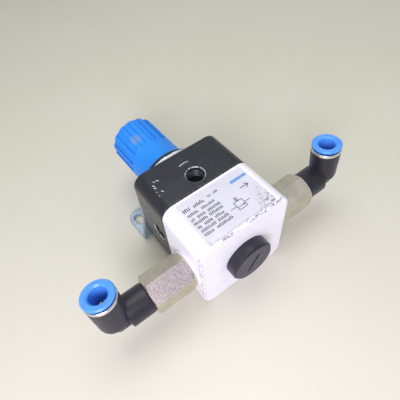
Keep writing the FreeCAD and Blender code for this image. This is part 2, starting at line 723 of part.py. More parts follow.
def bonnet():
    body = new_body("bonnet", knob_frame())
    block(body, "bonnet_base", "bonnet_length")
    soften_rim(body, "bonnet_top")
    revolve(body, (
        ("0", "bonnet_base"), ("spring_bore + 1", "bonnet_base"), ("spring_bore + 1", "bonnet_top - 2"),
        ("neck_radius", "bonnet_top - 2"), ("neck_radius", "neck_top - neck_bevel"),
        ("neck_radius - neck_bevel", "neck_top"), ("0", "neck_top")))
    bore(body, (
        ("0", "bonnet_base"), ("chamber_radius", "bonnet_base"), ("chamber_radius", "bonnet_base + 1"),
        ("spring_bore", "bonnet_base + 3"), ("spring_bore", "roof_face"),
        ("bush_radius", "roof_face"), ("bush_radius", "neck_top"), ("0", "neck_top")))
    for side in ("", "-"):
        near, far = f"{side}(spring_bore - rib_height)", f"{side}(spring_bore + 1)"
        left, right = (far, near) if side else (near, far)
        rib = rectangle(body, "XY_Plane", left, right, "-rib_width / 2", "rib_width / 2",
                        "bonnet_base + rib_start")
        pad(body, rib, "roof_face - bonnet_base - rib_start")
    gauge_port(body, "XZ_Plane", ("0", "gauge_place"), "body_depth / 2", False)
    gauge_port(body, "YZ_Plane", ("0", "gauge_place"), "-body_width / 2", True)
    channels = circles(body, "XY_Plane", channel_spots(), "channel_radius", "bonnet_base")
    pocket(body, channels, "gauge_place - bonnet_base", True)
    vent = circles(body, "YZ_Plane", [("vent_drop", "gauge_place")], "vent_radius", "-body_width / 2")
    pocket(body, vent, "body_width / 2 - 4", True)
    holes = circles(body, "XY_Plane", screw_spots(), "screw_radius + rest_gap / 2", "bonnet_top")
    pocket(body, holes, "bonnet_length")
    heads = circles(body, "XY_Plane", screw_spots(), "screw_head_radius + rest_gap / 2", "bonnet_top")
    pocket(body, heads, "screw_head_height + rest_gap")


def bonnet_screws():
    """Four socket-head screws, as separate solids in one node."""
    frame = knob_frame()
    head_base = value("bonnet_top - screw_head_height - rest_gap")
    tip = value("housing_top - screw_grip")
    up = Vector(0, 0, 1)
    shank = Part.makeCylinder(value("screw_radius - fit_gap"), head_base - tip, Vector(0, 0, tip), up)
    head = Part.makeCylinder(value("screw_head_radius"), value("screw_head_height"),
                             Vector(0, 0, head_base), up)
    top = head_base + value("screw_head_height")
    head_rim = [edge for edge in head.Edges if edge.BoundBox.ZMin > top - 0.01]
    head = head.makeChamfer(value("screw_bevel"), head_rim)
    reach = value("screw_socket") / math.sqrt(3)
    corners = [Vector(reach * math.cos(math.radians(60 * index)),
                      reach * math.sin(math.radians(60 * index)), top) for index in range(7)]
    corners[6] = corners[0]
    socket = Part.Face(Part.makePolygon(corners)).extrude(Vector(0, 0, -value("screw_socket_depth")))
    screw = shank.fuse(head).cut(socket).removeSplitter()
    copies = []
    for across, along in screw_spots():
        copy = screw.copy()
        copy.translate(Vector(value(across), value(along), 0))
        copies.append(copy)
    group = doc.addObject("Part::Feature", "bonnet_screws")
    group.Label = "bonnet_screws"
    group.Shape = Part.makeCompound(copies)
    group.Placement = frame
    nodes.append(group)


def rating_label():
    body = new_body("rating_label", knob_frame())
    half = "(body_width / 2 - edge_round)"
    face = rectangle(body, "XZ_Plane", f"-{half}", half, "end_face + label_inset",
                     "housing_top - label_inset", "body_depth / 2")
    pad(body, face, "label_thick")
    inverse = body.Placement.inverse()

    def corner(edge):
        ends = [inverse.multVec(vertex.Point) for vertex in edge.Vertexes]
        return len(ends) == 2 and abs(ends[0].y - ends[1].y) > value("label_thick") / 2

    dress(body, "Fillet", corner, "label_corner")


# ---------------------------------------------------------------- diaphragm and its plates

def diaphragm():
    body = new_body("diaphragm", knob_frame())
    half_width, half_depth = "(body_width / 2 - diaphragm_inset)", "(body_depth / 2 - diaphragm_inset)"
    sheet_outline = rectangle(body, "XY_Plane", f"-{half_width}", half_width,
                              f"-{half_depth}", half_depth, "housing_top")
    pad(body, sheet_outline, "diaphragm_thick")
    corner = upright_corner(body, value(half_width), value(half_depth))
    dress(body, "Fillet", corner, "edge_round - diaphragm_inset")
    for spots, radius in (([("0", "0")], "hub_radius + fit_gap"),
                          (screw_spots(), "screw_radius + rest_gap / 2"),
                          (channel_spots(), "channel_radius")):
        holes = circles(body, "XY_Plane", spots, radius, "bonnet_base")
        pocket(body, holes, "diaphragm_thick")


def lower_plate():
    """Plate under the diaphragm, with the relief seat below it and a threaded hub above."""
    low = "housing_top - lower_plate_thick"
    turned("lower_plate", knob_frame(), (
        ("relief_bore", "relief_face"), ("hub_radius", "relief_face"), ("hub_radius", low),
        ("lower_plate_radius", low), ("lower_plate_radius", "housing_top"),
        ("hub_radius", "housing_top"), ("hub_radius", "hub_top"), ("relief_bore", "hub_top")))


def upper_plate():
    """Plate over the diaphragm: the spring sits on it, round its centring boss."""
    boss = "spring_radius - spring_wire / 2 - rest_gap"
    room = "hub_nut_flats / 2 + hub_nut_room"
    turned("upper_plate", knob_frame(), (
        ("hub_radius + fit_gap", "bonnet_base"), ("upper_plate_radius", "bonnet_base"),
        ("upper_plate_radius", "upper_plate_top"), (boss, "upper_plate_top"),
        (boss, "upper_plate_top + centring_height"),
        (room, "upper_plate_top + centring_height"), (room, "upper_plate_top"),
        ("hub_radius + fit_gap", "upper_plate_top")))


def hub_nut():
    body = new_body("hub_nut", knob_frame())
    pad(body, hexagon(body, "hub_nut_flats", "upper_plate_top"), "hub_nut_height")
    hole = circles(body, "XY_Plane", [("0", "0")], "hub_radius + fit_gap", "upper_plate_top")
    pocket(body, hole, "hub_nut_height", True)


# ---------------------------------------------------------------- valve

def valve_plug():
    body = new_body("valve_plug", knob_frame())
    head_face = "end_face - plug_head_height"
    revolve(body, (
        ("0", head_face), ("plug_head_radius - plug_bevel", head_face),
        ("plug_head_radius", f"{head_face} + plug_bevel"), ("plug_head_radius", "end_face"),
        ("plug_bore - fit_gap", "end_face"), ("plug_bore - fit_gap", "end_face + plug_grip"),
        ("plug_cup_radius", "end_face + plug_grip"), ("plug_cup_radius", "cup_floor"), ("0", "cup_floor")))
    reach = "(plug_slot_length - plug_slot_width) / 2"
    across = f"{reach} * cos(plug_slot_turn * 1 deg)"
    up = f"{reach} * sin(plug_slot_turn * 1 deg)"
    slot = slot_outline(body, "XY_Plane", (f"-{across}", f"-{up}"), (across, up),
                        "plug_slot_width / 2", head_face)
    pocket(body, slot, "plug_slot_depth", True)


def plug_seal():
    wire = "plug_seal_wire / 2"
    torus("plug_seal", knob_frame(), f"end_face + {wire}", f"plug_bore + {wire}", wire)


def valve_seat():
    lip = "seat_bore + seat_lip_wall"
    turned("valve_seat", knob_frame(), (
        ("seat_bore", "lip_face"), (lip, "lip_face"), (f"{lip} + seat_lip", "seat_base"),
        ("seat_radius", "seat_base"), ("seat_radius", "seat_top"), ("seat_bore", "seat_top")))


def valve_poppet():
    turned("valve_poppet", knob_frame(), (
        ("stem_radius", "poppet_base - poppet_tail"), ("poppet_guide", "poppet_base - poppet_tail"),
        ("poppet_guide", "poppet_base"), ("poppet_radius", "poppet_base"), ("poppet_radius", "poppet_top"),
        ("poppet_seal_radius", "poppet_top"), ("poppet_seal_radius", "poppet_top - poppet_seal_height"),
        ("stem_radius", "poppet_top - poppet_seal_height")))


def poppet_seal():
    turned("poppet_seal", knob_frame(),
           ring("stem_radius", "poppet_seal_radius", "poppet_top - poppet_seal_height", "poppet_top"))


def valve_stem():
    """Runs from the poppet's tail through the seat to the relief seat."""
    tip = "relief_face - seat_gap"
    turned("valve_stem", knob_frame(), (
        ("0", "poppet_base - poppet_tail"), ("stem_radius", "poppet_base - poppet_tail"),
        ("stem_radius", f"{tip} - stem_point"), ("stem_radius - stem_point", tip), ("0", tip)))


def valve_spring():
    coil("valve_spring", knob_frame(), "cup_floor", "poppet_base",
         "(poppet_guide + plug_cup_radius) / 2", "valve_wire", "valve_turns")


# ---------------------------------------------------------------- adjustment

def regulating_spring():
    coil("regulating_spring", knob_frame(), "upper_plate_top", "nut_place",
         "spring_radius", "spring_wire", "spring_turns")


def spring_nut():
    """Travels along the spindle's thread; two notches ride on the bonnet's ribs."""
    body = new_body("spring_nut", knob_frame())
    revolve(body, ring("screw_thread + running_gap", "spring_bore - rest_gap",
                       "nut_place", "nut_place + nut_height"))
    for side in ("", "-"):
        near, far = f"{side}(spring_bore - rib_height - rest_gap)", f"{side}(spring_bore + 1)"
        left, right = (far, near) if side else (near, far)
        notch = rectangle(body, "XY_Plane", left, right, "-rib_width / 2 - rest_gap",
                          "rib_width / 2 + rest_gap", "nut_place")
        pocket(body, notch, "nut_height", True)


def adjusting_spindle():
    body = new_body("adjusting_spindle", set_frame())
    clip_low, clip_high = "neck_top", "neck_top + clip_thick + running_gap"
    snap_high = "snap_base + snap_thick + running_gap"
    revolve(body, (
        ("0", "screw_reach"), ("screw_thread - spindle_bevel", "screw_reach"),
        ("screw_thread", "screw_reach + spindle_bevel"),
        ("screw_thread", "collar_top - collar_height"), ("collar_radius", "collar_top - collar_height"),
        ("collar_radius", "collar_top"), ("journal_radius", "collar_top"), ("journal_radius", clip_low),
        ("journal_radius - clip_groove", clip_low), ("journal_radius - clip_groove", clip_high),
        ("journal_radius", clip_high), ("journal_radius", "snap_base"),
        ("journal_radius - clip_groove", "snap_base"), ("journal_radius - clip_groove", snap_high),
        ("journal_radius", snap_high), ("journal_radius", "drive_top - spindle_bevel"),
        ("journal_radius - spindle_bevel", "drive_top"), ("0", "drive_top")))
    for low, high in (("drive_flats / 2", "journal_radius + 1"), ("-journal_radius - 1", "-drive_flats / 2")):
        flat = rectangle(body, "XY_Plane", "-journal_radius - 1", "journal_radius + 1", low, high, "drive_top")
        pocket(body, flat, "drive_top - neck_top - drive_start")


def thrust_washer():
    turned("thrust_washer", knob_frame(),
           ring("journal_radius + running_gap", "collar_radius", "collar_top", "roof_face"))


def spindle_bush():
    turned("spindle_bush", knob_frame(),
           ring("journal_radius + running_gap", "bush_radius", "roof_face", "neck_top"))


def open_ring(label, frame, inner, outer, low, thick):
    """A spring clip: a ring with a gap in it."""
    body = new_body(label, frame)
    high = f"{low} + {thick}"
    revolve(body, ring(inner, outer, low, high))
    gap = rectangle(body, "XY_Plane", "0", f"{outer} + 1", "-clip_opening / 2", "clip_opening / 2", low)
    pocket(body, gap, thick, True)


def spindle_circlip():
    open_ring("spindle_circlip", set_frame(), "journal_radius - clip_groove", "clip_radius",
              "neck_top", "clip_thick")


def knob_snap_ring():
    open_ring("knob_snap_ring", set_frame(), "journal_radius - clip_groove", "snap_radius",
              "snap_base", "snap_thick")


def knob():
    body = new_body("knob", set_frame())
    revolve(body, (
        ("0", "knob_foot"), ("skirt_radius - skirt_bevel", "knob_foot"),
        ("skirt_radius", "knob_foot + skirt_bevel"), ("knob_radius", "knob_foot + skirt_height"),
        ("knob_radius", "knob_top"), ("0", "knob_top")))
    dress(body, "Fillet", circle_at(body, value("knob_top"), value("knob_radius")), "knob_crown")
    hub_low = "knob_foot + knob_hub_start"
    bore(body, (
        ("0", "knob_foot"), ("knob_inside + skirt_flare", "knob_foot"),
        ("knob_inside", "knob_foot + skirt_height"), ("knob_inside", "knob_ceiling"),
        ("knob_hub", "knob_ceiling"), ("knob_hub", hub_low), ("0", hub_low)))
    # The hub's bore matches the spindle's flats, and its wide stretch lets the snap ring travel.
    shaft, wide = "journal_radius + running_gap", "snap_radius + rest_gap"
    wide_low, wide_high = "snap_base - knob_pull - rest_gap", "snap_base + snap_thick + rest_gap"
    bore(body, (
        ("0", hub_low), (shaft, hub_low), (shaft, wide_low), (wide, wide_low), (wide, wide_high),
        (shaft, wide_high), (shaft, "knob_ceiling"), ("0", "knob_ceiling")))
    for low, high in (("drive_flats / 2 + running_gap", "journal_radius + 1"),
                      ("-journal_radius - 1", "-drive_flats / 2 - running_gap")):
        key = rectangle(body, "XY_Plane", "-journal_radius - 1", "journal_radius + 1", low, high,
                        "knob_ceiling")
        pad(body, key, f"knob_ceiling - ({wide_high}) - rest_gap", True)
    reach = "knob_radius + 1"
    end = "knob_foot + flute_start + flute_width / 2"
    flute = slot_outline(body, "XZ_Plane", ("0", end), ("0", "knob_top + flute_width"),
                         "flute_width / 2", reach)
    cut = pocket(body, flute, "1 + flute_depth")
    repeat(body, cut, "flute_count")


# ---------------------------------------------------------------- mounting nut and bracket

def panel_nut():
    body = new_body("panel_nut", knob_frame())
    low, high = "bonnet_top + bracket_thick", "bonnet_top + bracket_thick + panel_nut_height"
    revolve(body, (
        ("neck_radius + fit_gap", low), ("panel_nut_radius - panel_nut_bevel", low),
        ("panel_nut_radius", f"{low} + panel_nut_bevel"), ("panel_nut_radius", f"{high} - panel_nut_bevel"),
        ("panel_nut_radius - panel_nut_bevel", high), ("neck_radius + fit_gap", high)))
    slot = rectangle(body, "XY_Plane", "panel_nut_radius - panel_slot_depth", "panel_nut_radius + 1",
                     "-panel_slot_width / 2", "panel_slot_width / 2", low)
    repeat(body, pocket(body, slot, "panel_nut_height", True), "panel_nut_slots")


def bracket():
    """A sheet bracket: an upright round the bonnet's neck and a foot on the mounting plane."""
    body = new_body("bracket", Placement())
    near, behind = "bonnet_top", "bonnet_top + bracket_thick"
    far, top = "bonnet_top + bracket_length", "bracket_top"
    low, high = "-foot_drop", "bracket_thick - foot_drop"
    profile = polygon(body, "YZ_Plane", (
        (near, low), (far, low), (far, high), (behind, high), (behind, top), (near, top)))
    pad(body, profile, "bracket_width", both=True)

    def along(edge, axis):
        spans = {"X": edge.BoundBox.XLength, "Y": edge.BoundBox.YLength, "Z": edge.BoundBox.ZLength}
        return all((spans[name] > 0.5) == (name == axis) for name in spans)

    def at(edge, across, up):
        return abs(edge.BoundBox.YMin - value(across)) < 0.01 and abs(edge.BoundBox.ZMin - value(up)) < 0.01

    dress(body, "Fillet", lambda edge: along(edge, "X") and at(edge, behind, high), "bend_radius")
    dress(body, "Fillet", lambda edge: along(edge, "X") and at(edge, near, low), "bend_radius + bracket_thick")
    # The upright narrows from the foot's width to its shoulders, and its top corners are rounded.
    waist = f"{high} + bend_radius"
    for side in ("", "-"):
        edge_x, shoulder = f"{side}bracket_width / 2", f"{side}bracket_shoulder"
        outside = f"{side}(bracket_width / 2 + 1)"
        trim = polygon(body, "XZ_Plane", (
            (edge_x, waist), (outside, waist), (outside, f"{top} + 1"), (shoulder, f"{top} + 1"),
            (shoulder, "axis_height - shoulder_drop")), "-bonnet_top")
        pocket(body, trim, "bracket_thick", False)
    dress(body, "Fillet", lambda edge: along(edge, "Y") and abs(edge.BoundBox.ZMin - value(top)) < 0.01,
          "bracket_head_round")
    dress(body, "Fillet", lambda edge: along(edge, "Z") and abs(edge.BoundBox.YMin - value(far)) < 0.01,
          "bracket_corner")
    opening = circles(body, "XZ_Plane", [("0", "axis_height")], "neck_radius + fit_gap", "-bonnet_top")
    pocket(body, opening, "bracket_thick")
    reach = "(bracket_slot_length - bracket_slot_width) / 2"
    along_y = "bonnet_top + bracket_slot_place"
    for side in ("", "-"):
        middle = f"{side}bracket_slot_spacing / 2"
        first, second = (middle, f"{along_y} - {reach}"), (middle, f"{along_y} + {reach}")
        slot = slot_outline(body, "XY_Plane", first, second, "bracket_slot_width / 2", high)
        pocket(body, slot, "bracket_thick")


# ---------------------------------------------------------------- fittings

def sides():
    return (("inlet", -1), ("outlet", 1))


def port_seal(name, side):
    turned(f"{name}_port_seal", port_frame(side),
           ring("stud_thread + fit_gap", "washer_radius", "body_width / 2", "body_width / 2 + washer_height"))


def hex_stud(name, side):
    """Screws into the port; the elbow turns on its spigot."""
    body = new_body(f"{name}_stud", port_frame(side))
    face = "body_width / 2"
    ring_low = "hex_end + swivel_ring_place"
    ring_high = f"{ring_low} + swivel_ring_thick + fit_gap"
    seal_low = "hex_end + swivel_seal_place"
    seal_high = f"{seal_low} + swivel_seal_wire + fit_gap"
    bite = "spigot_radius - swivel_ring_bite"
    seal_floor = "spigot_radius + running_gap - swivel_seal_wire"
    revolve(body, (
        ("stud_bore", f"{face} - stud_reach"), ("stud_thread - stud_bevel", f"{face} - stud_reach"),
        ("stud_thread", f"{face} - stud_reach + stud_bevel"), ("stud_thread", f"{face} + washer_height"),
        ("shoulder_radius", f"{face} + washer_height"), ("shoulder_radius", "hex_start + shoulder_height"),
        ("spigot_radius", "hex_end - shoulder_height"), ("spigot_radius", ring_low), (bite, ring_low),
        (bite, ring_high), ("spigot_radius", ring_high), ("spigot_radius", seal_low), (seal_floor, seal_low),
        (seal_floor, seal_high), ("spigot_radius", seal_high), ("spigot_radius", "spigot_end - spigot_bevel"),
        ("spigot_radius - spigot_bevel", "spigot_end"), ("stud_bore", "spigot_end")))
    pad(body, hexagon(body, "hex_flats", "hex_start"), "hex_length")
    hole = circles(body, "XY_Plane", [("0", "0")], "stud_bore", "hex_start")
    pocket(body, hole, "hex_length", True)
    # Turned bevels take the corners off both ends of the hexagon.
    corner, inner = "hex_flats * 0.6", "hex_flats / 2"
    rise = "hex_flats * 0.1 * tan(30 deg)"
    bore(body, ((inner, "hex_start"), (corner, "hex_start"), (corner, f"hex_start + {rise}")))
    bore(body, ((inner, "hex_end"), (corner, f"hex_end - {rise}"), (corner, "hex_end")))


def swivel_ring(name, side):
    """Keeps the elbow on the spigot: it sits in the spigot's groove and stands into the elbow's."""
    open_ring(f"{name}_swivel_ring", port_frame(side), "spigot_radius - swivel_ring_bite + fit_gap",
              "spigot_radius + running_gap + swivel_ring_bite", "hex_end + swivel_ring_place + fit_gap / 2",
              "swivel_ring_thick")


def swivel_seal(name, side):
    wire = "(swivel_seal_wire - running_gap) / 2"
    torus(f"{name}_swivel_seal", port_frame(side), "hex_end + swivel_seal_place + swivel_seal_wire / 2",
          f"spigot_radius - {wire}", wire)


def elbow(name, side):
    """A barrel round the spigot, a narrow neck, and the tube's socket at a right angle to them."""
    body = new_body(f"{name}_elbow", elbow_frame(side))
    # The socket's outline is drawn with the tube's axis as the sketch's horizontal.
    revolve(body, (
        ("-tube_foot_drop", "0"), ("-tube_foot_drop", "tube_foot_radius"),
        ("tube_mouth", "tube_mouth_radius"), ("tube_mouth", "0")), axis="H_Axis", shift="elbow_reach")
    foot = value("tube_foot_drop")
    inverse = body.Placement.inverse()

    def foot_edge(edge):
        return all(abs(inverse.multVec(spot).x + foot) < 0.01 for spot in edge.discretize(4))

    dress(body, "Fillet", foot_edge, "tube_foot_round")
    neck_end = "elbow_reach + neck_over"
    revolve(body, (
        ("0", "barrel_start"), ("barrel_radius - barrel_bevel", "barrel_start"),
        ("barrel_radius", "barrel_start + barrel_bevel"), ("barrel_radius", "barrel_end"),
        ("elbow_neck", "barrel_end + barrel_step"), ("elbow_neck", f"{neck_end} - neck_round"),
        ("elbow_neck - neck_round", neck_end), ("0", neck_end)), rounds={5: "neck_round"})
    groove_low = "hex_end + swivel_ring_place - running_gap"
    groove_high = "hex_end + swivel_ring_place + swivel_ring_thick + 2 * running_gap"
    sliding = "spigot_radius + running_gap"
    groove = "spigot_radius + 2 * running_gap + swivel_ring_bite"
    bore(body, (
        ("0", "barrel_start"), (sliding, "barrel_start"), (sliding, groove_low), (groove, groove_low),
        (groove, groove_high), (sliding, groove_high), (sliding, "spigot_end + rest_gap"),
        ("elbow_passage", "spigot_end + rest_gap"), ("elbow_passage", "elbow_reach"), ("0", "elbow_reach")))
    socket = "tube_radius + 2 * running_gap"
    bore(body, (
        ("-passage_dip", "0"), ("-passage_dip", "elbow_passage"), ("tube_stop", "elbow_passage"),
        ("tube_stop", socket), ("seal_base", socket), ("seal_base", "cartridge_radius"),
        ("tube_mouth", "cartridge_radius"), ("tube_mouth", "0")), axis="H_Axis", shift="elbow_reach")


def tube_seal(name, side):
    """A rubber ring with a lip that bears on the tube."""
    lip = "tube_radius + running_gap"
    flare = "(cartridge_radius - tube_radius) / 3"
    turned(f"{name}_tube_seal", tube_frame(side), (
        (f"{lip} + {flare}", "seal_base"), ("cartridge_radius", "seal_base"), ("cartridge_radius", "seal_top"),
        (f"{lip} + {flare}", "seal_top"), (lip, f"seal_top - {flare}"), (lip, f"seal_base + {flare}")))


def grip_ring(name, side):
    """A cone of spring steel cut into claws that bite the tube."""
    body = new_body(f"{name}_grip_ring", tube_frame(side))
    tip = "tube_radius + 2 * running_gap"
    revolve(body, (
        (tip, "seal_top + fit_gap"), (tip, "seal_top + fit_gap + grip_thick"),
        ("cartridge_radius - claw_root", "grip_top - fit_gap"), ("cartridge_radius", "grip_top - fit_gap"),
        ("cartridge_radius", "grip_top - fit_gap - grip_thick"),
        ("cartridge_radius - claw_root", "grip_top - fit_gap - grip_thick")))
    cut = rectangle(body, "XY_Plane", "tube_radius / 2", "cartridge_radius - claw_root",
                    "-claw_slit / 2", "claw_slit / 2", "seal_top")
    repeat(body, pocket(body, cut, "grip_height", True), "grip_claws")


def metal_sleeve(name, side):
    """Closes the cartridge: a band on the elbow's mouth with a skirt inside it."""
    inner = "cartridge_radius - sleeve_wall"
    turned(f"{name}_metal_sleeve", tube_frame(side), (
        (inner, "grip_top"), ("cartridge_radius", "grip_top"), ("cartridge_radius", "tube_mouth"),
        ("sleeve_radius", "tube_mouth"), ("sleeve_radius", "sleeve_top - sleeve_bevel"),
        ("sleeve_radius - sleeve_bevel", "sleeve_top"), (inner, "sleeve_top")))


def release_ring(name, side):
    """Pushed in, its nose opens the claws; its flange is pressed with a fingertip."""
    outer = "ring_bore + ring_wall"
    nose = "grip_top + ring_stroke + rest_gap / 2"
    turned(f"{name}_release_ring", tube_frame(side), (
        ("ring_bore", nose), ("ring_bore + ring_wall / 3", nose), (outer, f"{nose} + ring_wall"),
        (outer, "ring_base"), ("ring_radius - ring_bevel", "ring_base"),
        ("ring_radius", "ring_base + ring_bevel"), ("ring_radius", "ring_top - ring_bevel"),
        ("ring_radius - ring_bevel", "ring_top"), ("ring_bore + ring_funnel", "ring_top"),
        ("ring_bore", "ring_top - ring_funnel")))


# ---------------------------------------------------------------- assembly

def check_objects():
    """Stops on any failed object, and on any piece that is empty or not valid."""
    for item in doc.Objects:
        if "Invalid" in item.State or "Error" in item.State:
            raise RuntimeError(f"{item.Label} did not compute: {item.State}")
    for item in nodes:
        if item.Shape.isNull() or not item.Shape.isValid() or item.Shape.Volume <= 0:
            raise RuntimeError(f"{item.Label} has no valid shape")


def main():
    fill_sheet()
    for piece in (lower_housing, bonnet, bonnet_screws, rating_label, diaphragm, lower_plate, upper_plate,
                  hub_nut, valve_plug, plug_seal, valve_seat, valve_poppet, poppet_seal, valve_stem,
                  valve_spring, regulating_spring, spring_nut, adjusting_spindle, thrust_washer,
                  spindle_bush, spindle_circlip, knob_snap_ring, knob, panel_nut, bracket):
        piece()
    for name, side in sides():
        for piece in (port_seal, hex_stud, swivel_ring, swivel_seal, elbow, tube_seal, grip_ring,
                      metal_sleeve, release_ring):
            piece(name, side)
    doc.recompute()
    check_objects()
    os.makedirs("parts", exist_ok=True)
    for item in nodes:
        item.Shape.exportStep(os.path.join("parts", item.Label + ".step"))
    print(len(nodes), "nodes written")


main()
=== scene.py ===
import json
import math
import random

import bpy
from mathutils import Matrix, Vector


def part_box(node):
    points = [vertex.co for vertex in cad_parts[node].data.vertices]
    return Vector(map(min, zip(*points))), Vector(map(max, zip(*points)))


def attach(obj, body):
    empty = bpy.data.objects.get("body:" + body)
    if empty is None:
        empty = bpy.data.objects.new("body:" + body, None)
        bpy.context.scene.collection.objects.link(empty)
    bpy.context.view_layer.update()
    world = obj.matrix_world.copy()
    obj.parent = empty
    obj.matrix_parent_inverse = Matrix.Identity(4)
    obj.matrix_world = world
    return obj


# Air pressure regulator, lying on its back.
# The frame is the CAD model's, in metres: +X from inlet to outlet, +Y from valve plug to knob, +Z up.
# The part's own places and sizes are in millimetres, and MM turns them into metres. The lights' places
# and the floor's size are in metres.

MM = 0.001
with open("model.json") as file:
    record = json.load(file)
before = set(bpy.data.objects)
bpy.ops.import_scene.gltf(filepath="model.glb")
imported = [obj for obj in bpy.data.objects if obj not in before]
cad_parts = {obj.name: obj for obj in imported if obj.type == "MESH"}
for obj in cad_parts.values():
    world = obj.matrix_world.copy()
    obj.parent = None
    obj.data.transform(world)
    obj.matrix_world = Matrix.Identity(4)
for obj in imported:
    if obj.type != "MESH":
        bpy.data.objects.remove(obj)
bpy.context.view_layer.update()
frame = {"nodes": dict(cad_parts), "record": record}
scene = bpy.context.scene


# ---------------------------------------------------------------- places on the part, in millimetres

def mm_box(node):
    low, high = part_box(node)
    return low / MM, high / MM


END = mm_box("lower_housing")[0].y        # the housing's end face, round the valve plug
LABEL_END = mm_box("rating_label")[0].y   # the label's edge towards that face
# The bonnet's box gives half the block's width, the top of the neck and the block's front face.
SIDE, NECK_TOP, FRONT = mm_box("bonnet")[1]
LABEL_TOP = mm_box("rating_label")[1].z
NUT_TOP = mm_box("panel_nut")[1].y
AXIS_HEIGHT = FRONT / 2                   # the ports and the knob lie on this height
GAUGE_ALONG = 25.4                        # how far along the knob's axis the gauge ports are
GAUGE_DEPTH = 7.6                         # from the front face down to the end of the port's thread


# ---------------------------------------------------------------- camera, floor and lights

CAMERA_PLACE = Vector((-57.48, -69.51, 175.97)) * MM
CAMERA_AZIMUTH = -31.61
CAMERA_ELEVATION = 52.82
CAMERA_ROLL = -6.71
CAMERA_LENS = 32.18


def camera():
    angles = (CAMERA_AZIMUTH, CAMERA_ELEVATION, CAMERA_ROLL)
    azimuth, elevation, roll = (math.radians(angle) for angle in angles)
    back = Vector((math.sin(azimuth) * math.cos(elevation),
                   -math.cos(azimuth) * math.cos(elevation), math.sin(elevation)))
    right = (-back).cross(Vector((0, 0, 1))).normalized()
    up = right.cross(-back)
    turned_right = math.cos(roll) * right + math.sin(roll) * up
    turned_up = -math.sin(roll) * right + math.cos(roll) * up
    turn = Matrix((turned_right, turned_up, back)).transposed()
    data = bpy.data.cameras.new("camera")
    data.lens = CAMERA_LENS
    data.clip_start = 1 * MM
    item = bpy.data.objects.new("camera", data)
    item.matrix_world = Matrix.Translation(CAMERA_PLACE) @ turn.to_4x4()
    scene.collection.objects.link(item)
    scene.camera = item


# The regulator rests on two lines: the housing's lower end edge, and the bend of its bracket.
REST_FRONT = Vector((0, -10.15, -0.02)) * MM
REST_BACK = Vector((0, 45.45, -3.02)) * MM
FLOOR_HALF = 1.5


def floor():
    mesh = bpy.data.meshes.new("floor")
    corners = [(x * FLOOR_HALF, y * FLOOR_HALF, 0) for x, y in ((-1, -1), (1, -1), (1, 1), (-1, 1))]
    mesh.from_pydata(corners, [], [(0, 1, 2, 3)])
    item = bpy.data.objects.new("floor", mesh)
    slope = (REST_BACK.z - REST_FRONT.z) / (REST_BACK.y - REST_FRONT.y)
    item.location = REST_FRONT
    item.rotation_euler.x = math.atan(slope)
    scene.collection.objects.link(item)
    mesh.materials.append(table_material())


def area(name, place, target, size, power, colour):
    data = bpy.data.lights.new(name, "AREA")
    data.shape = "DISK"
    data.size = size
    data.energy = power
    data.color = colour
    item = bpy.data.objects.new(name, data)
    item.location = place
    item.rotation_mode = "QUATERNION"
    item.rotation_quaternion = (Vector(target) - Vector(place)).to_track_quat("-Z", "Y")
    scene.collection.objects.link(item)


WORLD_COLOUR = (0.96, 0.96, 1.0, 1)
WORLD_STRENGTH = 0.56


def lights():
    world = bpy.data.worlds.new("studio")
    world.use_nodes = True
    background = world.node_tree.nodes["Background"]
    background.inputs["Color"].default_value = WORLD_COLOUR
    background.inputs["Strength"].default_value = WORLD_STRENGTH
    scene.world = world
    area("ceiling", place=(0.05, 0.15, 0.7), target=(0, 0.03, 0), size=0.5, power=1.9,
         colour=(1.0, 1.0, 0.97))
    area("window", place=(-0.24, -0.24, 0.26), target=(-0.05, -0.05, 0.0), size=0.22, power=1.5,
         colour=(1.0, 0.95, 1.12))
    scene.view_settings.view_transform = "Standard"


# ---------------------------------------------------------------- shader graphs

BEVEL_SAMPLES = 6
SHADE_SAMPLES = 8


